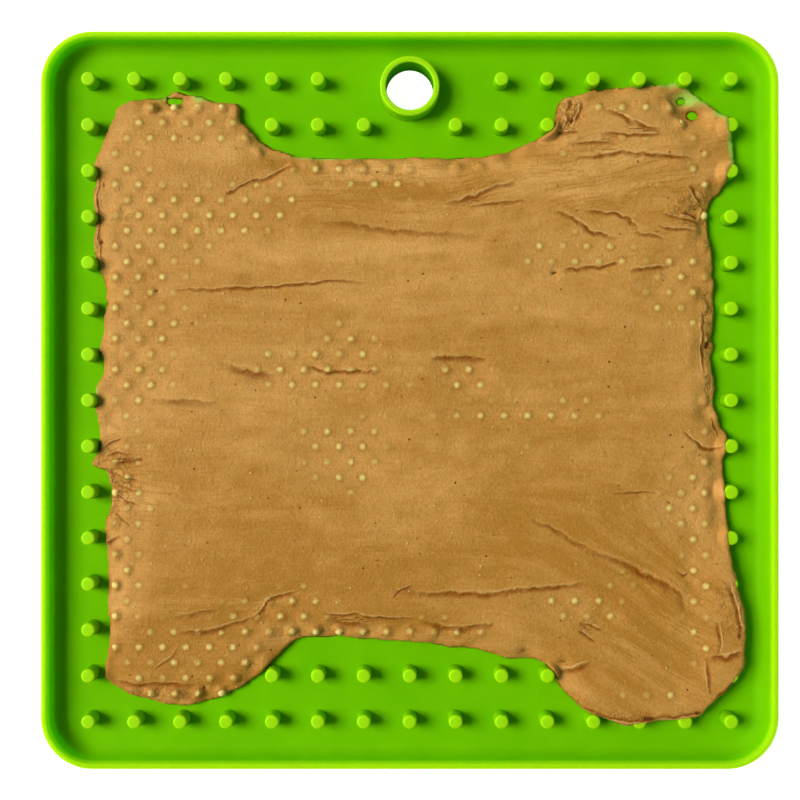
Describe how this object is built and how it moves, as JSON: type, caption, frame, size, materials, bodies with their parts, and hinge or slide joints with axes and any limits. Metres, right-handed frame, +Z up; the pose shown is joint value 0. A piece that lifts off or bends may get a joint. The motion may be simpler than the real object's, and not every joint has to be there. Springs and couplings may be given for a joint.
{
  "type": "lick mat",
  "caption": "Square moulded silicone pet lick mat with a raised rim, border pegs, a bone-shaped nub field under peanut butter, a hanging eyelet and suction cups.",
  "frame": {"origin": "on the surface that the suction cups stand on, under the middle of the mat", "axes": "+Z up out of the licking face, +Y towards the hanging eyelet, +X to the right seen from above"},
  "size_m": [0.2, 0.2, 0.012],
  "materials": {
    "silicone": "moulded green silicone rubber, satin",
    "spread": "knife-spread peanut butter, satin"
  },
  "bodies": {
    "root": {"floor_panel": "silicone", "raised_rim": "silicone", "hanging_eyelet": "silicone", "left_pegs": "silicone", "right_pegs": "silicone", "top_left_pegs": "silicone", "top_right_pegs": "silicone", "bottom_pegs": "silicone", "licking_nubs": "silicone", "suction_cups": "silicone", "peanut_butter": "spread"}
  },
  "joints": []
}
